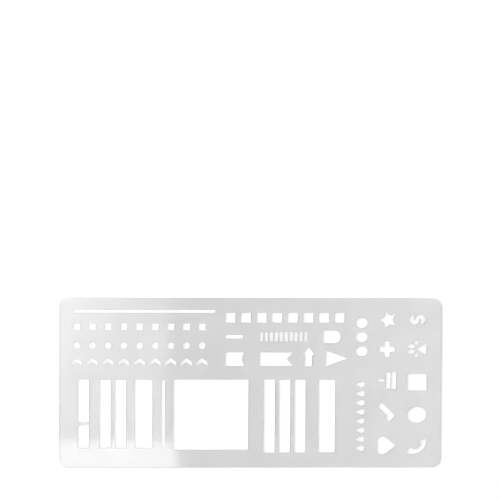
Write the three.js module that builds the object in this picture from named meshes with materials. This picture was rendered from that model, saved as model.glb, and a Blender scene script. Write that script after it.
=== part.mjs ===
import * as THREE from 'three';

// Planner stencil: one flat sheet of clear plastic, cut right through with rows of boxes, dots, slots,
// flags, bars and small signs that are traced with a pen. Sizes are in millimetres. The sheet lies flat,
// +X runs along its length, +Y to its upper edge and +Z up, with the origin under its middle. The layout
// starts at the upper left corner and runs to the right and down, each cut-out a stated gap from the one
// before it, and the sheet ends a margin past the outermost ones. The signs in the two columns at the
// right read with the sheet held upright, so they are drawn upright here and given a quarter turn.

// Sheet
const sheetThickness = 0.8;
const sheetCornerRadius = 4.3;
const leftMargin = 6.4;
const rightMargin = 6.74;
const bottomMargin = 5.92;

// Cutter: it eases every sharp corner by its own radius
const cutterRadius = 0.2;
const cornerSteps = 2;
const sideShare = 0.45;
const sharpTurn = 30;
const facetTurn = 15;

// Upper left block: a ruling slot, then three rows of small marks in shared columns
const rulingSlotTop = 5.6;
const rulingSlotLength = 66.75;
const rulingSlotWidth = 1.45;
const markCount = 9;
const smallBoxSide = 3.2;
const smallBoxGap = 5;
const dotDiameter = 3.2;
const dotGap = 5.6;
const chevronWidth = 5.2;
const chevronRise = 1.9;
const chevronStroke = 1.95;
const chevronGap = 4.3;

// Upper middle block, first row: check boxes
const blockGap = 4.65;
const checkBoxTop = 6.95;
const checkBoxSide = 4.65;
const columnGap = 2.16;
const checkBoxCount = 8;

// Upper middle block, second row: a dash, a tally of narrow slots and a tab with one round end
const secondRowGap = 3.65;
const dashLength = 8.5;
const dashWidth = 1.75;
const tallyGap = 7.75;
const tallySlotWidth = 1.5;
const tallySlotHeight = 4.4;
const tallyBridge = 0.83;
const tallyCount = 10;
const tabGap = 7.3;
const tabStraight = 5.42;
const tabHeight = 6.05;

// Upper middle block, third row: two swallow-tailed flags, an arrow and a pointer on one base line
const thirdRowGap = 1.75;
const flagHeight = 6.45;
const flagLift = 0.2;
const shortFlagLength = 8.9;
const shortFlagNotch = 1.2;
const longFlagGap = 7.35;
const longFlagLength = 15.7;
const longFlagNotch = 2.8;
const arrowGap = 4.65;
const arrowHeadWidth = 6.1;
const arrowHeadHeight = 3.8;
const arrowShaftWidth = 3.4;
const arrowShaftHeight = 5.4;
const pointerGap = 5.3;
const pointerLength = 10.7;
const pointerBase = 7.6;

// Lower band: bars, a thin slot and the large window, all hung from one line
const bandGap = 6.2;
const bandStart = 8.55;
const barWidth = 5.3;
const barBridge = 1.95;
const splitBarUpper = 20.2;
const splitBarBridge = 1.35;
const splitBarLower = 10.75;
const leftPairGap = 4.9;
const leftPairCount = 2;
const leftWideGap = 3.9;
const leftWideWidth = 8.4;
const thinSlotGap = 4.25;
const thinSlotWidth = 1.65;
const windowGap = 4;
const windowLength = 35.3;
const windowHeight = 33.25;
const rightBarsGap = 7.2;
const rightBarsCount = 3;
const rightBarsHeight = 34.65;
const rightWideGap = 6.15;
const rightWideWidth = 7.85;

// Column of ovals with the drops below them
const ovalColumnGap = 3.65;
const ovalTop = 9.35;
const ovalLength = 5.75;
const ovalHeight = 4.7;
const ovalBridge = 1.98;
const ovalCount = 3;
const dropGap = 12.1;
const dropLength = 5.2;
const dropWidth = 2.7;
const dropBridge = 1.61;
const dropEase = 0.5;
const dropCount = 8;

// First column of signs: star, plus, cake, check mark and heart
const firstSignGap = 4.6;
const starTop = 6;
const starRadius = 4.55;
const starWaist = 2.2;
const starPoints = 5;
const plusGap = 6;
const plusSpan = 7.6;
const plusArm = 2.6;
const cakeGap = 6.85;
const cakeBaseWidth = 8.3;
const cakeBaseHeight = 2.5;
const cakeBridge = 0.5;
const cakeTopWidth = 7.75;
const cakeTopHeight = 1.85;
const cakeScallops = 4;
const cakeScallopDrop = 0.35;
const candleGap = 0.5;
const candleHeight = 3.5;
const candleWidth = 1.7;
const checkMarkGap = 6.3;
const checkMarkLong = 9.1;
const checkMarkShort = 4;
const checkMarkStroke = 2.5;
const heartGap = 6.95;
const heartLobeRadius = 2.55;
const heartLobeSpread = 3.6;
const heartDepth = 6.7;

// Second column of signs: money sign, paw print, note, oval and telephone
const secondSignGap = 5.05;
const moneyTop = 7.7;
const moneyBowlRadius = 1.38;
const moneyStroke = 1.9;
const moneyOpening = 15;
const moneyBarLength = 0.25;
const moneyBarWidth = 0.8;
const pawGap = 7.5;
const pawPadWidth = 5.9;
const pawPadHeight = 5;
const pawPadEase = 0.5;
const pawInnerToeWidth = 2.1;
const pawInnerToeHeight = 3.4;
const pawInnerToeBridge = 0.4;
const pawInnerToeGap = 0.45;
const pawOuterToeWidth = 2.15;
const pawOuterToeHeight = 2.2;
const pawOuterToeSpread = 6.0;
const pawOuterToeRise = 4.8;
const noteGap = 7.65;
const noteLength = 9.3;
const noteHeight = 8;
const bigOvalGap = 7.7;
const bigOvalLength = 9.3;
const bigOvalHeight = 7.65;
const phoneGap = 7.8;
const phoneOuterRadius = 6.45;
const phoneGripWidth = 2.3;
const phoneEndWidth = 3.1;
const phoneEndTurn = 28;
const phoneHalfTurn = 63;
const phoneTilt = -57;
const phoneEase = 0.5;

const { degToRad, radToDeg } = THREE.MathUtils;
const at = (x, y) => new THREE.Vector2(x, y);

/** Points along part of an ellipse, from one angle in degrees to another, either way round. */
function arc(centreX, centreY, radiusX, radiusY, from, to) {
  const steps = Math.max(2, Math.round(Math.abs(to - from) / facetTurn));
  const curve = new THREE.EllipseCurve(
    centreX, centreY, radiusX, radiusY, degToRad(from), degToRad(to), to < from);
  return curve.getPoints(steps);
}

/** An outline with its sharp corners rounded, each by no more than its shorter side allows. */
function eased(outline, radius = cutterRadius) {
  return outline.flatMap((corner, index) => {
    const before = outline.at(index - 1).clone().sub(corner);
    const after = outline[(index + 1) % outline.length].clone().sub(corner);
    const inside = before.angleTo(after);
    if (Math.PI - inside < degToRad(sharpTurn)) {
      return [corner];
    }
    const room = Math.min(before.length(), after.length()) * sideShare;
    const reach = Math.min(radius / Math.tan(inside / 2), room);
    const start = corner.clone().addScaledVector(before.normalize(), reach);
    const end = corner.clone().addScaledVector(after.normalize(), reach);
    return new THREE.QuadraticBezierCurve(start, corner, end).getPoints(cornerSteps);
  });
}

/** An outline turned about the origin by an angle in degrees. */
function turned(outline, angle) {
  return outline.map((point) => point.clone().rotateAround(at(0, 0), degToRad(angle)));
}

/** An outline moved by x and y. */
function moved(outline, x, y) {
  return outline.map((point) => at(point.x + x, point.y + y));
}

/** The mirror image of points about the Y axis, in the order that carries the outline on. */
function mirrored(points) {
  return points.map((point) => at(-point.x, point.y)).reverse();
}

function rectangle(width, height) {
  const x = width / 2;
  const y = height / 2;
  return eased([at(-x, -y), at(x, -y), at(x, y), at(-x, y)]);
}

function ellipse(width, height) {
  return arc(0, 0, width / 2, height / 2, 0, 360).slice(1);
}

/** A slot along X with round ends. */
function slot(length, width) {
  const radius = width / 2;
  const reach = length / 2 - radius;
  return [...arc(reach, 0, radius, radius, -90, 90), ...arc(-reach, 0, radius, radius, 90, 270)];
}

/** A chevron that points up, its arms cut off upright. */
function chevron(width, rise, stroke) {
  const foot = width / 2;
  const lower = [at(-foot, 0), at(0, rise), at(foot, 0)];
  return eased([...lower, ...moved(lower, 0, stroke).reverse()]);
}

/** A tab with a flat left end and a half-round right end. */
function tab(straight, height) {
  const radius = height / 2;
  return eased([at(0, -radius), ...arc(straight, 0, radius, radius, -90, 90), at(0, radius)]);
}

/** A flag with a swallow-tail notch in its right end. */
function flag(length, height, notch) {
  return eased([
    at(0, 0), at(length, 0), at(length - notch, height / 2), at(length, height), at(0, height),
  ]);
}

/** A broad arrow that points up. */
function arrow(headWidth, headHeight, shaftWidth, shaftHeight) {
  const right = [
    at(shaftWidth / 2, 0), at(shaftWidth / 2, shaftHeight), at(headWidth / 2, shaftHeight),
  ];
  return eased([...right, at(0, shaftHeight + headHeight), ...mirrored(right)]);
}

/** A triangle that points right. */
function pointer(length, base) {
  return eased([at(0, -base / 2), at(length, 0), at(0, base / 2)]);
}

/** A drop with its tip up: a circle and the two straight sides that touch it. */
function drop(length, width) {
  const radius = width / 2;
  const tip = length - radius;
  const touch = 90 - radToDeg(Math.acos(radius / tip));
  return eased([at(0, tip), ...arc(0, 0, radius, radius, 180 - touch, 360 + touch)], dropEase);
}

/** A star with one point up, whose hollows lie on a circle of the waist's radius. */
function star(radius, waist, points) {
  const step = Math.PI / points;
  const corners = Array.from({ length: 2 * points }, (_, index) => {
    const reach = index % 2 ? waist : radius;
    return at(-reach * Math.sin(index * step), reach * Math.cos(index * step));
  });
  return eased(corners);
}

/** A plus sign of four equal arms. */
function plus(span, arm) {
  const far = span / 2;
  const near = arm / 2;
  const quarter = [at(far, -near), at(far, near), at(near, near)];
  return eased([0, 90, 180, 270].flatMap((angle) => turned(quarter, angle)));
}

/** A run of scallops that hang from a level line, from left to right. */
function scallops(width, level) {
  const radius = width / cakeScallops / 2;
  const runs = Array.from({ length: cakeScallops }, (_, index) => {
    const middle = (2 * index + 1) * radius - width / 2;
    const run = arc(middle, level, radius, cakeScallopDrop, 180, 360);
    return index === 0 ? run : run.slice(1);
  });
  return runs.flat();
}

/** A cake of two layers with a scalloped seam between them, and one candle. */
function cake() {
  const seam = cakeBaseHeight + cakeBridge;
  const level = seam + cakeTopHeight;
  const base = [
    at(cakeBaseWidth / 2, 0),
    ...scallops(cakeBaseWidth, cakeBaseHeight).reverse(),
    at(-cakeBaseWidth / 2, 0),
  ];
  const top = [...scallops(cakeTopWidth, seam), at(cakeTopWidth / 2, level), at(-cakeTopWidth / 2, level)];
  const candle = turned(slot(candleHeight, candleWidth), 90);
  return [eased(base), eased(top), moved(candle, 0, level + candleGap + candleHeight / 2)];
}

/** A check mark: two arms at a right angle, standing on their corner. */
function checkMark(long, short, stroke) {
  const arms = [
    at(0, 0), at(long, 0), at(long, stroke), at(stroke, stroke), at(stroke, short), at(0, short),
  ];
  return eased(turned(arms, 45));
}

/** A heart: two round lobes, and straight sides that touch them and meet in a point below. */
function heart(radius, spread, depth) {
  const middle = spread / 2;
  const touch = Math.atan2(-depth, -middle) + Math.acos(radius / Math.hypot(middle, depth));
  const dip = Math.PI - Math.acos(middle / radius);
  const lobe = arc(middle, 0, radius, radius, radToDeg(touch), radToDeg(dip));
  return eased([at(0, -depth), ...lobe, ...mirrored(lobe).slice(1)]);
}

/** A money sign: an S of two open bowls, with a short bar above and below it. */
function moneySign() {
  const outer = moneyBowlRadius + moneyStroke / 2;
  const inner = moneyBowlRadius - moneyStroke / 2;
  const barTurn = radToDeg(Math.asin(moneyBarWidth / 2 / outer));
  const barEnd = moneyBowlRadius + outer + moneyBarLength;
  const half = [
    ...arc(0, moneyBowlRadius, outer, outer, moneyOpening, 90 - barTurn),
    at(moneyBarWidth / 2, barEnd),
    at(-moneyBarWidth / 2, barEnd),
    ...arc(0, moneyBowlRadius, outer, outer, 90 + barTurn, 270),
    ...arc(0, -moneyBowlRadius, inner, inner, 90, moneyOpening - 180).slice(1),
  ];
  return eased([...half, ...turned(half, 180)]);
}

/** A paw print: one pad and four toes. */
function pawPrint() {
  const corners = [at(-pawPadWidth / 2, 0), at(pawPadWidth / 2, 0), at(0, pawPadHeight)];
  const innerToe = ellipse(pawInnerToeWidth, pawInnerToeHeight);
  const innerReach = (pawInnerToeBridge + pawInnerToeWidth) / 2;
  const innerRise = pawPadHeight + pawInnerToeGap + pawInnerToeHeight / 2;
  const outerToe = ellipse(pawOuterToeWidth, pawOuterToeHeight);
  const toes = [-1, 1].flatMap((side) => [
    moved(innerToe, side * innerReach, innerRise),
    moved(outerToe, side * pawOuterToeSpread / 2, pawOuterToeRise),
  ]);
  return [eased(corners, pawPadEase), ...toes];
}

/** A telephone handset: a curved grip whose two ends turn in as ear piece and mouthpiece. */
function phone() {
  const gripRadius = phoneOuterRadius - phoneGripWidth;
  const endRadius = phoneOuterRadius - phoneEndWidth;
  const gripTurn = phoneHalfTurn - phoneEndTurn;
  const ring = (radius, from, to) => arc(0, 0, radius, radius, from - 90, to - 90);
  const outline = [
    ...ring(phoneOuterRadius, -phoneHalfTurn, phoneHalfTurn),
    ...ring(endRadius, phoneHalfTurn, gripTurn),
    ...ring(gripRadius, gripTurn, -gripTurn),
    ...ring(endRadius, -gripTurn, -phoneHalfTurn),
  ];
  return turned(eased(outline, phoneEase), phoneTilt);
}

const cutOuts = [];

/** The outlines of a shape, which is one outline or a list of them. */
function outlinesOf(shape) {
  return Array.isArray(shape[0]) ? shape : [shape];
}

/** The width and height of the box around a shape, and the box itself. */
function boxOf(shape) {
  const box = new THREE.Box2().setFromPoints(outlinesOf(shape).flat());
  return { box, width: box.max.x - box.min.x, height: box.max.y - box.min.y };
}

/** The low side of a box of a given size that is placed by its low side, its centre or its high side. */
function lowSide(low, centre, high, size) {
  if (low !== undefined) {
    return low;
  }
  return centre === undefined ? high - size : centre - size / 2;
}

/**
 * Cuts a shape through the sheet. The box around it is placed by left, centre or right, and by top, middle
 * or bottom, as distances from the sheet's upper left corner. Gives back the sides of the placed box.
 */
function cut(shape, place) {
  const { box, width, height } = boxOf(shape);
  const left = lowSide(place.left, place.centre, place.right, width);
  const top = lowSide(place.top, place.middle, place.bottom, height);
  for (const outline of outlinesOf(shape)) {
    cutOuts.push(moved(outline, left - box.min.x, -top - box.max.y));
  }
  return { left, right: left + width, top, bottom: top + height };
}

/** Makes a number of cuts, counted from 0, and gives back the sides of the last one. */
function repeat(count, makeCut) {
  return Array.from({ length: count }, (_, index) => makeCut(index)).at(-1);
}

/** Cuts upright signs below one another, each a quarter turn round and with its middle on the column's axis. */
function cutSigns(signs, axis) {
  let bottom = 0;
  for (const { shape, gap } of signs) {
    const sideways = outlinesOf(shape).map((outline) => turned(outline, 90));
    bottom = cut(sideways, { centre: axis, top: bottom + gap }).bottom;
  }
  return bottom;
}

/** The height of the tallest of some upright signs. */
function tallest(signs) {
  return Math.max(...signs.map(({ shape }) => boxOf(shape).height));
}

// Upper left block
const columnPitch = Math.max(checkBoxSide, smallBoxSide, dotDiameter, chevronWidth) + columnGap;
const markCentre = (index) => leftMargin + smallBoxSide / 2 + index * columnPitch;
const rulingSlot = cut(slot(rulingSlotLength, rulingSlotWidth), { left: leftMargin, top: rulingSlotTop });
const smallBox = repeat(markCount, (index) => cut(
  rectangle(smallBoxSide, smallBoxSide),
  { centre: markCentre(index), top: rulingSlot.bottom + smallBoxGap }));
const dot = repeat(markCount, (index) => cut(
  ellipse(dotDiameter, dotDiameter),
  { centre: markCentre(index), top: smallBox.bottom + dotGap }));
const mark = repeat(markCount, (index) => cut(
  chevron(chevronWidth, chevronRise, chevronStroke),
  { centre: markCentre(index), top: dot.bottom + chevronGap }));
const middleStart = Math.max(rulingSlot.right, smallBox.right, dot.right, mark.right) + blockGap;

// Upper middle block, first row
const checkBox = repeat(checkBoxCount, (index) => cut(
  rectangle(checkBoxSide, checkBoxSide),
  { left: middleStart + index * columnPitch, top: checkBoxTop }));

// Upper middle block, second row
const secondRowHeight = Math.max(dashWidth, tallySlotHeight, tabHeight);
const secondRow = checkBox.bottom + secondRowGap + secondRowHeight / 2;
const dash = cut(slot(dashLength, dashWidth), { left: middleStart, middle: secondRow });
const tally = repeat(tallyCount, (index) => cut(
  rectangle(tallySlotWidth, tallySlotHeight),
  { left: dash.right + tallyGap + index * (tallySlotWidth + tallyBridge), middle: secondRow }));
const dividerTab = cut(tab(tabStraight, tabHeight), { left: tally.right + tabGap, middle: secondRow });

// Upper middle block, third row
const thirdRowHeight = Math.max(arrowShaftHeight + arrowHeadHeight, pointerBase, flagHeight + flagLift);
const baseLine = secondRow + secondRowHeight / 2 + thirdRowGap + thirdRowHeight;
const shortFlag = cut(
  flag(shortFlagLength, flagHeight, shortFlagNotch), { left: middleStart, bottom: baseLine - flagLift });
const longFlag = cut(
  flag(longFlagLength, flagHeight, longFlagNotch),
  { left: shortFlag.right + longFlagGap, bottom: baseLine - flagLift });
const upArrow = cut(
  arrow(arrowHeadWidth, arrowHeadHeight, arrowShaftWidth, arrowShaftHeight),
  { left: longFlag.right + arrowGap, bottom: baseLine });
const rightPointer = cut(
  pointer(pointerLength, pointerBase), { left: upArrow.right + pointerGap, bottom: baseLine });

// Lower band
const bandTop = Math.max(mark.bottom, baseLine) + bandGap;
const barPitch = barWidth + barBridge;
const leftBarHeight = splitBarUpper + splitBarBridge + splitBarLower;
const splitBar = cut(rectangle(barWidth, splitBarUpper), { left: bandStart, top: bandTop });
cut(rectangle(barWidth, splitBarLower), { left: bandStart, top: splitBar.bottom + splitBarBridge });
const leftPair = repeat(leftPairCount, (index) => cut(
  rectangle(barWidth, leftBarHeight),
  { left: splitBar.right + leftPairGap + index * barPitch, top: bandTop }));
const leftWide = cut(
  rectangle(leftWideWidth, leftBarHeight), { left: leftPair.right + leftWideGap, top: bandTop });
const thinSlot = cut(
  turned(slot(leftBarHeight, thinSlotWidth), 90), { left: leftWide.right + thinSlotGap, top: bandTop });
const bigWindow = cut(
  rectangle(windowLength, windowHeight), { left: thinSlot.right + windowGap, top: bandTop });
const rightBars = repeat(rightBarsCount, (index) => cut(
  rectangle(barWidth, rightBarsHeight),
  { left: bigWindow.right + rightBarsGap + index * barPitch, top: bandTop }));
const rightWide = cut(
  rectangle(rightWideWidth, rightBarsHeight), { left: rightBars.right + rightWideGap, top: bandTop });

// Column of ovals and drops
const middleEnd = Math.max(checkBox.right, dividerTab.right, rightPointer.right, rightWide.right);
const ovalStart = middleEnd + ovalColumnGap;
const oval = repeat(ovalCount, (index) => cut(
  ellipse(ovalLength, ovalHeight),
  { left: ovalStart, top: ovalTop + index * (ovalHeight + ovalBridge) }));
const lastDrop = repeat(dropCount, (index) => cut(
  turned(drop(dropLength, dropWidth), 90),
  { left: ovalStart, top: oval.bottom + dropGap + index * (dropWidth + dropBridge) }));

// Columns of signs
const firstSigns = [
  { shape: star(starRadius, starWaist, starPoints), gap: starTop },
  { shape: plus(plusSpan, plusArm), gap: plusGap },
  { shape: cake(), gap: cakeGap },
  { shape: checkMark(checkMarkLong, checkMarkShort, checkMarkStroke), gap: checkMarkGap },
  { shape: heart(heartLobeRadius, heartLobeSpread, heartDepth), gap: heartGap },
];
const secondSigns = [
  { shape: moneySign(), gap: moneyTop },
  { shape: pawPrint(), gap: pawGap },
  { shape: rectangle(noteHeight, noteLength), gap: noteGap },
  { shape: ellipse(bigOvalHeight, bigOvalLength), gap: bigOvalGap },
  { shape: phone(), gap: phoneGap },
];
const firstStart = Math.max(oval.right, lastDrop.right) + firstSignGap;
const secondStart = firstStart + tallest(firstSigns) + secondSignGap;
const firstEnd = cutSigns(firstSigns, firstStart + tallest(firstSigns) / 2);
const secondEnd = cutSigns(secondSigns, secondStart + tallest(secondSigns) / 2);

// Sheet
const bandEnd = Math.max(bandTop + leftBarHeight, bigWindow.bottom, rightBars.bottom);
const sheetLength = secondStart + tallest(secondSigns) + rightMargin;
const sheetHeight = Math.max(bandEnd, lastDrop.bottom, firstEnd, secondEnd) + bottomMargin;

/** The sheet's outline: a rectangle with round corners, from its upper left corner. */
function sheetOutline() {
  const radius = sheetCornerRadius;
  const right = sheetLength - radius;
  const low = radius - sheetHeight;
  return [
    ...arc(right, -radius, radius, radius, 0, 90),
    ...arc(radius, -radius, radius, radius, 90, 180),
    ...arc(radius, low, radius, radius, 180, 270),
    ...arc(right, low, radius, radius, 270, 360),
  ];
}

const sheet = new THREE.Shape(sheetOutline());
sheet.holes = cutOuts.map((outline) => new THREE.Path(outline));

const clearPlastic = new THREE.MeshStandardMaterial({
  color: 0xd8dadb, roughness: 0.12, metalness: 0, transparent: true, opacity: 0.45,
});
const plate = new THREE.Mesh(
  new THREE.ExtrudeGeometry(sheet, { depth: sheetThickness, bevelEnabled: false }), clearPlastic);
plate.name = 'stencil_plate';
plate.position.set(-sheetLength / 2, sheetHeight / 2, 0);

const stencil = new THREE.Group();
stencil.name = 'planner_stencil';
stencil.add(plate);

export default stencil;
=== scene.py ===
"""Planner stencil: one sheet of clear plastic with its cut-outs, lying on white paper, seen from above."""
import math

import bmesh
import bpy
from mathutils import Matrix, Vector


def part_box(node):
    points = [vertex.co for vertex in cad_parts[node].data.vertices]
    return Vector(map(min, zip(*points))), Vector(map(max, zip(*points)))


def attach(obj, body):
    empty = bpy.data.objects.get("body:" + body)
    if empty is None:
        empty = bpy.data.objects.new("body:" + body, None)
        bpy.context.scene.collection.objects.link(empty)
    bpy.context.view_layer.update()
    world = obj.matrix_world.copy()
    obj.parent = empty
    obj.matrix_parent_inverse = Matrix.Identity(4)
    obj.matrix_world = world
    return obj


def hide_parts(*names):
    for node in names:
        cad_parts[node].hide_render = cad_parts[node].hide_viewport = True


# Sheet, in metres
LIP_RADIUS = 0.00008
LIP_STEPS = 2
WELD_GAP = 1e-6

# How steeply a normal rises: above the first on the upper face, and under the second on lips and walls
UPPER_RISE = 0.9
LEVEL_RISE = 0.99

# Clear plastic: its tints, how far it bends light and how dull it is
PLASTIC_CLEAR = (0.776, 0.776, 0.776, 1)
PLASTIC_HAZY = (0.758, 0.758, 0.758, 1)
# Cut walls and lips: partly the duller grey of a cut edge, partly painted shade that deepens the dark lines
# along the cut-outs and the sheet's rim
PLASTIC_CUT_AND_SHADE = (0.5, 0.5, 0.5, 1)
PLASTIC_BEND = 1.49
FACE_ROUGHNESS = 0.025
HAZE_ROUGHNESS = 0.04
CUT_ROUGHNESS = 0.1

# Its haze, ripples and handling marks: scales per metre, turn in radians and depths in metres
HAZE_SCALE = 55
HAZE_DETAIL = 4
HAZE_GRAIN = 0.6
HAZE_START = 0.42
HAZE_END = 0.68
RIPPLE_SCALE = 26
RIPPLE_DETAIL = 1
RIPPLE_STRENGTH = 0.1
RIPPLE_DEPTH = 0.0002
MARK_TURN = (0, 0, 0.35)
MARK_SCALE = (60, 1600, 60)
MARK_DETAIL = 2
MARK_STRENGTH = 0.05
MARK_DEPTH = 0.00001

# Paper and studio
PAPER_SIDE = 6
PAPER_GAP = 0.00004
PAPER_WHITE = (0.68, 0.68, 0.68, 1)
PAPER_GLOW = 0.4
ROOM_WHITE = (1, 1, 1, 1)
ROOM_LIGHT = 0.3
KEY_PLACE = (-0.81, 0.405, 1.09)
KEY_SIDE = 0.8
KEY_POWER = 16.8

# Overhead panel that the sheet mirrors. Each of its lights rises softly, one way across the sheet:
# the way's turn in degrees, how far from the sheet's middle it starts and ends, and its height.
PANEL_HEIGHT = 1.5
PANEL_LOW = (-0.45, -0.5)
PANEL_HIGH = (0.5, 0.1)
LEFT_LIGHT = (180, 0.0365, 0.0415, 1.4)
LEFT_RISE = (159, 0.06, 0.105, 1.95)
RIGHT_RISE = (0, -0.025, 0.105, 1.45)
CORNER_LIGHT = (270, 0.025, 0.0288, 4.15)
CORNER_SIDE = (190, 0.0376, 0.0436, 1)

# Camera: its place, its turn as one rotation vector in degrees, and its lens in millimetres
CAMERA_PLACE = (-0.0503, 0.1028, 1)
CAMERA_TURN = (-2.306, -2.829, 0.244)
CAMERA_LENS = 153.46
CAMERA_SENSOR = 36
CAMERA_NEAR = 0.01


def add(tree, kind, inputs=None, **settings):
    """A new node with its settings made and its inputs set, or linked where a socket is given."""
    node = tree.nodes.new(kind)
    for name, value in settings.items():
        setattr(node, name, value)
    for key, value in (inputs or {}).items():
        if isinstance(value, bpy.types.NodeSocket):
            tree.links.new(value, node.inputs[key])
        else:
            node.inputs[key].default_value = value
    return node


def figure(tree, operation, first, second=0):
    """The result of one operation on numbers."""
    return add(tree, "ShaderNodeMath", {0: first, 1: second}, operation=operation).outputs[0]


def mixed(tree, share, low, high):
    """A number between low and high by a share from 0 to 1."""
    return add(tree, "ShaderNodeMapRange", {"Value": share, "To Min": low, "To Max": high}).outputs[0]


def tinted(tree, share, low, high):
    """A colour between low and high by a share from 0 to 1."""
    factor, low_colour, high_colour, result = 0, 6, 7, 2
    inputs = {factor: share, low_colour: low, high_colour: high}
    return add(tree, "ShaderNodeMix", inputs, data_type="RGBA").outputs[result]


def seen(tree):
    """1 where the camera looks, straight or by way of clear plastic, and 0 for other light."""
    path = add(tree, "ShaderNodeLightPath").outputs
    direct = figure(tree, "MAXIMUM", path["Is Camera Ray"], path["Is Glossy Ray"])
    either = figure(tree, "MAXIMUM", direct, path["Is Transmission Ray"])
    return figure(tree, "GREATER_THAN", either, path["Diffuse Depth"])


def new_material(name):
    """An empty node material and its output node."""
    material = bpy.data.materials.new(name)
    material.use_nodes = True
    material.node_tree.nodes.clear()
    return material, add(material.node_tree, "ShaderNodeOutputMaterial")


def placed(name, data):
    """A new object in the scene."""
    item = bpy.data.objects.new(name, data)
    bpy.context.scene.collection.objects.link(item)
    return item


def clear_plastic():
    """Clear, faintly grey plastic with soft haze, fine handling marks and a duller, darker cut edge, whose
    darkness is partly painted shade.
    """
    material, output = new_material("clear_plastic")
    tree = material.node_tree
    place = add(tree, "ShaderNodeTexCoord").outputs["Object"]
    haze = add(tree, "ShaderNodeTexNoise", {
        "Vector": place, "Scale": HAZE_SCALE, "Detail": HAZE_DETAIL, "Roughness": HAZE_GRAIN})
    cloud = add(tree, "ShaderNodeMapRange", {
        "Value": haze.outputs["Fac"], "From Min": HAZE_START, "From Max": HAZE_END}).outputs[0]
    ripple = add(tree, "ShaderNodeTexNoise", {
        "Vector": place, "Scale": RIPPLE_SCALE, "Detail": RIPPLE_DETAIL})
    stretched = add(tree, "ShaderNodeMapping", {"Vector": place, "Rotation": MARK_TURN, "Scale": MARK_SCALE})
    marks = add(tree, "ShaderNodeTexNoise", {
        "Vector": stretched.outputs[0], "Scale": 1, "Detail": MARK_DETAIL})
    cut = add(tree, "ShaderNodeAttribute", attribute_name="cut_edge").outputs["Fac"]
    face_tint = tinted(tree, cloud, PLASTIC_CLEAR, PLASTIC_HAZY)
    face_roughness = mixed(tree, cloud, FACE_ROUGHNESS, HAZE_ROUGHNESS)
    wave = add(tree, "ShaderNodeBump", {
        "Height": ripple.outputs["Fac"], "Strength": RIPPLE_STRENGTH, "Distance": RIPPLE_DEPTH})
    scuff = add(tree, "ShaderNodeBump", {
        "Height": marks.outputs["Fac"], "Strength": MARK_STRENGTH, "Distance": MARK_DEPTH,
        "Normal": wave.outputs[0]})
    # Cut walls and lips take the darker tint: partly their duller look, partly painted shade along the
    # cut-outs
    shader = add(tree, "ShaderNodeBsdfPrincipled", {
        "Base Color": tinted(tree, cut, face_tint, PLASTIC_CUT_AND_SHADE),
        "Roughness": mixed(tree, cut, face_roughness, CUT_ROUGHNESS),
        "Normal": scuff.outputs[0], "IOR": PLASTIC_BEND, "Transmission Weight": 1})
    tree.links.new(shader.outputs[0], output.inputs["Surface"])
    return material


def white_paper():
    """Matt white that keeps the shadow, with a little light of its own where the camera looks at it."""
    material, output = new_material("white_paper")
    tree = material.node_tree
    matt = add(tree, "ShaderNodeBsdfDiffuse", {"Color": PAPER_WHITE})
    glow = add(tree, "ShaderNodeEmission", {"Strength": mixed(tree, seen(tree), 0, PAPER_GLOW)})
    both = add(tree, "ShaderNodeAddShader", {0: matt.outputs[0], 1: glow.outputs[0]})
    tree.links.new(both.outputs[0], output.inputs["Surface"])
    return material


def way_in(before, here, after):
    """The way from a point of an outline into the material on its left, to clear both edges by 1."""
    first = (here - before).to_2d().normalized()
    second = (after - here).to_2d().normalized()
    left = [Vector((-edge.y, edge.x)) for edge in (first, second)]
    return ((left[0] + left[1]) / (1 + left[0].dot(left[1]))).to_3d()


def upper_outline(node):
    """The edges of a CAD sheet's upper face as a flat mesh, with the way into the material at each point."""
    mesh = bmesh.new()
    mesh.from_mesh(node.data)
    bmesh.ops.remove_doubles(mesh, verts=mesh.verts, dist=WELD_GAP)
    mesh.normal_update()
    follower = {}
    for face in mesh.faces:
        if face.normal.z < UPPER_RISE:
            continue
        for loop in face.loops:
            others = [other for other in loop.edge.link_faces if other is not face]
            if others[0].normal.z < UPPER_RISE:
                follower[loop.vert] = loop.link_loop_next.vert
    before = {end: start for start, end in follower.items()}
    order = {vert: index for index, vert in enumerate(follower)}
    points = [(vert.co.x, vert.co.y, 0) for vert in order]
    edges = [(order[start], order[end]) for start, end in follower.items()]
    inward = [way_in(before[vert].co, vert.co, follower[vert].co) for vert in order]
    mesh.free()
    outline = bpy.data.meshes.new("sheet_outline")
    outline.from_pydata(points, edges, [])
    side = outline.attributes.new("way_in", "FLOAT_VECTOR", "POINT")
    for item, vector in zip(side.data, inward):
        item.vector = vector
    return outline


def inward_way(tree):
    """The stored way into the material at each point."""
    inputs = {"Name": "way_in"}
    return add(tree, "GeometryNodeInputNamedAttribute", inputs, data_type="FLOAT_VECTOR").outputs[0]


def step(tree, inset, rise):
    """An offset by a distance into the material and a rise."""
    across = add(tree, "ShaderNodeVectorMath", {0: inward_way(tree), "Scale": inset}, operation="SCALE")
    upward = add(tree, "ShaderNodeCombineXYZ", {"Z": rise})
    inputs = {0: across.outputs[0], 1: upward.outputs[0]}
    return add(tree, "ShaderNodeVectorMath", inputs, operation="ADD").outputs[0]


def moved(tree, geometry, offset, selection=True):
    """The geometry with its selected points moved by an offset."""
    inputs = {"Geometry": geometry, "Selection": selection, "Offset": offset}
    return add(tree, "GeometryNodeSetPosition", inputs).outputs[0]


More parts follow.
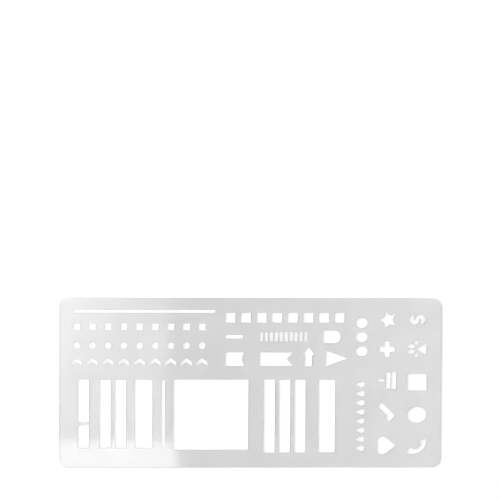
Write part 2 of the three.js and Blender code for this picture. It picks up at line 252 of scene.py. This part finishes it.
def filled_face(tree, outline, lip):
    """The level face inside the lips, which keeps the way into the material at each point of its edges."""
    inset = moved(tree, outline, step(tree, lip, 0))
    curve = add(tree, "GeometryNodeMeshToCurve", {"Mesh": inset}).outputs[0]
    filled = add(tree, "GeometryNodeFillCurve", {"Curve": curve}).outputs[0]
    nearest = add(tree, "GeometryNodeSampleNearest", {"Geometry": inset}, domain="POINT").outputs[0]
    sampled = add(tree, "GeometryNodeSampleIndex", {
        "Geometry": inset, "Index": nearest, "Value": inward_way(tree)},
        data_type="FLOAT_VECTOR", domain="POINT").outputs[0]
    return add(tree, "GeometryNodeStoreNamedAttribute", {
        "Geometry": filled, "Name": "way_in", "Value": sampled},
        data_type="FLOAT_VECTOR", domain="POINT").outputs[0]


def lip_steps():
    """The steps of a lip, as shares of its radius: how far into the material and how far up."""
    turns = [math.pi / 2 * index / LIP_STEPS for index in range(LIP_STEPS + 1)]
    return [
        (math.sin(low) - math.sin(high), math.cos(low) - math.cos(high))
        for low, high in zip(turns, turns[1:])]


def raised_edges(tree, face, thickness, lip):
    """The lower face with its edges raised round a lip, up a wall and round a second lip."""
    faces_at_edge = add(tree, "GeometryNodeInputMeshEdgeNeighbors").outputs[0]
    first, second = 2, 3
    selection = add(tree, "FunctionNodeCompare", {
        first: faces_at_edge, second: 1}, data_type="INT", operation="EQUAL").outputs[0]

    def lip_step(across, up):
        return step(tree, figure(tree, "MULTIPLY", lip, across), figure(tree, "MULTIPLY", lip, up))

    both_lips = figure(tree, "MULTIPLY", lip, 2)
    climb = [lip_step(across, up) for across, up in lip_steps()]
    climb.append(step(tree, 0, figure(tree, "SUBTRACT", thickness, both_lips)))
    climb += [lip_step(-across, up) for across, up in reversed(lip_steps())]
    shape = face
    for offset in climb:
        raised = add(tree, "GeometryNodeExtrudeMesh", {
            "Mesh": shape, "Selection": selection, "Offset Scale": 0}, mode="EDGES")
        selection = raised.outputs["Top"]
        shape = moved(tree, raised.outputs["Mesh"], offset, selection)
    return shape


def sheet_tree():
    """Geometry nodes that fill an outline, raise its edges with rounded lips and close the sheet."""
    tree = bpy.data.node_groups.new("stencil_sheet", "GeometryNodeTree")
    sockets = {"Outline": "Geometry", "Thickness": "Float", "Lip": "Float", "Finish": "Material"}
    for name, kind in sockets.items():
        tree.interface.new_socket(name, in_out="INPUT", socket_type="NodeSocket" + kind)
    tree.interface.new_socket("Sheet", in_out="OUTPUT", socket_type="NodeSocketGeometry")
    given = add(tree, "NodeGroupInput").outputs

    upper = filled_face(tree, given["Outline"], given["Lip"])
    lower = add(tree, "GeometryNodeFlipFaces", {"Mesh": upper}).outputs[0]
    tray = raised_edges(tree, lower, given["Thickness"], given["Lip"])
    roof = moved(tree, upper, step(tree, 0, given["Thickness"]))
    joined = add(tree, "GeometryNodeJoinGeometry", {0: tray})
    tree.links.new(roof, joined.inputs[0])
    closed = add(tree, "GeometryNodeMergeByDistance", {"Geometry": joined.outputs[0], "Distance": WELD_GAP})

    normal = add(tree, "GeometryNodeInputNormal").outputs[0]
    slope = add(tree, "ShaderNodeSeparateXYZ", {0: normal}).outputs["Z"]
    edge_face = figure(tree, "LESS_THAN", figure(tree, "ABSOLUTE", slope), LEVEL_RISE)
    marked = add(tree, "GeometryNodeStoreNamedAttribute", {
        "Geometry": closed.outputs[0], "Name": "cut_edge", "Value": edge_face},
        data_type="FLOAT", domain="FACE")
    smooth = add(tree, "GeometryNodeSetShadeSmooth", {
        "Geometry": marked.outputs[0], "Shade Smooth": edge_face})
    whole = add(tree, "GeometryNodeRealizeInstances", {"Geometry": smooth.outputs[0]})
    dressed = add(tree, "GeometryNodeSetMaterial", {
        "Geometry": whole.outputs[0], "Material": given["Finish"]})
    add(tree, "NodeGroupOutput", {0: dressed.outputs[0]})
    return tree


def stencil_sheet(node, finish):
    """The sheet as a plain mesh, with rounded lips on the CAD sheet's outlines."""
    low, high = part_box(node.name)
    sheet = placed("clear_sheet", upper_outline(node))
    tree = sheet_tree()
    modifier = sheet.modifiers.new("stencil_sheet", "NODES")
    modifier.node_group = tree
    sizes = {"Thickness": high.z - low.z, "Lip": LIP_RADIUS, "Finish": finish}
    for socket in tree.interface.items_tree:
        if socket.name in sizes:
            modifier[socket.identifier] = sizes[socket.name]
    made = bpy.data.meshes.new_from_object(sheet.evaluated_get(bpy.context.evaluated_depsgraph_get()))
    sheet.modifiers.remove(modifier)
    made.name = "clear_sheet"
    made.transform(Matrix.Translation((0, 0, low.z)))
    sheet.data = made
    return sheet


def level_rectangle(name, low, high, height, finish):
    """A level rectangle between two corners, at a height."""
    (left, front), (right, back) = low, high
    corners = [(left, front), (right, front), (right, back), (left, back)]
    mesh = bpy.data.meshes.new(name)
    mesh.from_pydata([(x, y, height) for x, y in corners], [], [(0, 1, 2, 3)])
    mesh.materials.append(finish)
    return placed(name, mesh)


def paper_floor():
    """White paper, a hair below the sheet."""
    side = PAPER_SIDE / 2
    return level_rectangle("paper", (-side, -side), (side, side), -PAPER_GAP, white_paper())


def mirrored(point):
    """The point of the overhead panel that the camera sees mirrored in the sheet at a point."""
    reach = PANEL_HEIGHT / CAMERA_PLACE[2]
    return point + (point - Vector(CAMERA_PLACE)) * reach


def soft_rise(tree, place, turn, start, end, height):
    """Rises softly, one way across the panel, from 0 at the mirrored start to a height at the end."""
    way = Vector((math.cos(math.radians(turn)), math.sin(math.radians(turn)), 0))
    along = add(tree, "ShaderNodeVectorMath", {0: place, 1: way}, operation="DOT_PRODUCT")
    return add(tree, "ShaderNodeMapRange", {
        "Value": along.outputs["Value"], "From Min": mirrored(way * start).dot(way),
        "From Max": mirrored(way * end).dot(way), "To Max": height},
        interpolation_type="SMOOTHSTEP").outputs[0]


def panel_light():
    """Dark, with a soft light over each end and a brighter one over the left end's lower corner."""
    material, output = new_material("panel_light")
    tree = material.node_tree
    place = add(tree, "ShaderNodeTexCoord").outputs["Object"]
    left, rise, right, below, beside = (
        soft_rise(tree, place, *light)
        for light in (LEFT_LIGHT, LEFT_RISE, RIGHT_RISE, CORNER_LIGHT, CORNER_SIDE))
    soft = figure(tree, "ADD", figure(tree, "ADD", left, rise), right)
    corner = figure(tree, "MULTIPLY", below, beside)
    glow = add(tree, "ShaderNodeEmission", {"Strength": figure(tree, "MAXIMUM", soft, corner)})
    tree.links.new(glow.outputs[0], output.inputs["Surface"])
    return material


def overhead_panel():
    """The panel that the sheet mirrors."""
    return level_rectangle("overhead_panel", PANEL_LOW, PANEL_HIGH, PANEL_HEIGHT, panel_light())


def room():
    """Even light from all round, and white where the camera looks past the paper."""
    world = bpy.data.worlds.new("room")
    world.use_nodes = True
    tree = world.node_tree
    tree.nodes.clear()
    strength = mixed(tree, seen(tree), ROOM_LIGHT, 1)
    even = add(tree, "ShaderNodeBackground", {"Strength": strength, "Color": ROOM_WHITE})
    add(tree, "ShaderNodeOutputWorld", {"Surface": even.outputs[0]})
    bpy.context.scene.world = world


def key_light():
    """A large soft light from the left and a little from the top."""
    lamp = bpy.data.lights.new("key", "AREA")
    lamp.size = KEY_SIDE
    lamp.energy = KEY_POWER
    key = placed("key", lamp)
    key.location = KEY_PLACE
    key.rotation_euler = (-Vector(KEY_PLACE)).to_track_quat("-Z", "Y").to_euler()


def camera():
    """The view from above, a little off the sheet's middle."""
    lens = bpy.data.cameras.new("camera")
    lens.lens = CAMERA_LENS
    lens.sensor_width = CAMERA_SENSOR
    lens.clip_start = CAMERA_NEAR
    viewer = placed("camera", lens)
    turn = Vector([math.radians(angle) for angle in CAMERA_TURN])
    rotation = Matrix.Rotation(turn.length, 4, turn.normalized())
    viewer.matrix_world = Matrix.Translation(CAMERA_PLACE) @ rotation
    bpy.context.scene.camera = viewer


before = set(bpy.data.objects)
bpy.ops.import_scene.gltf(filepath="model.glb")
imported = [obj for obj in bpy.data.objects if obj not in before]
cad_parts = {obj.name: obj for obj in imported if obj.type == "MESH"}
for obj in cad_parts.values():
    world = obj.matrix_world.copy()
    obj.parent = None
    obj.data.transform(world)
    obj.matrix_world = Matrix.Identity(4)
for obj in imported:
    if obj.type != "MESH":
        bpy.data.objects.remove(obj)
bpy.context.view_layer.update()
bpy.context.scene.view_settings.view_transform = "Standard"
# Light that the plastic bends or mirrors stays sharp
bpy.context.scene.cycles.blur_glossy = 0
camera()
room()
key_light()
paper_floor()
overhead_panel()
sheet = stencil_sheet(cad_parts["stencil_plate"], clear_plastic())
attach(sheet, "root")
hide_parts("stencil_plate")
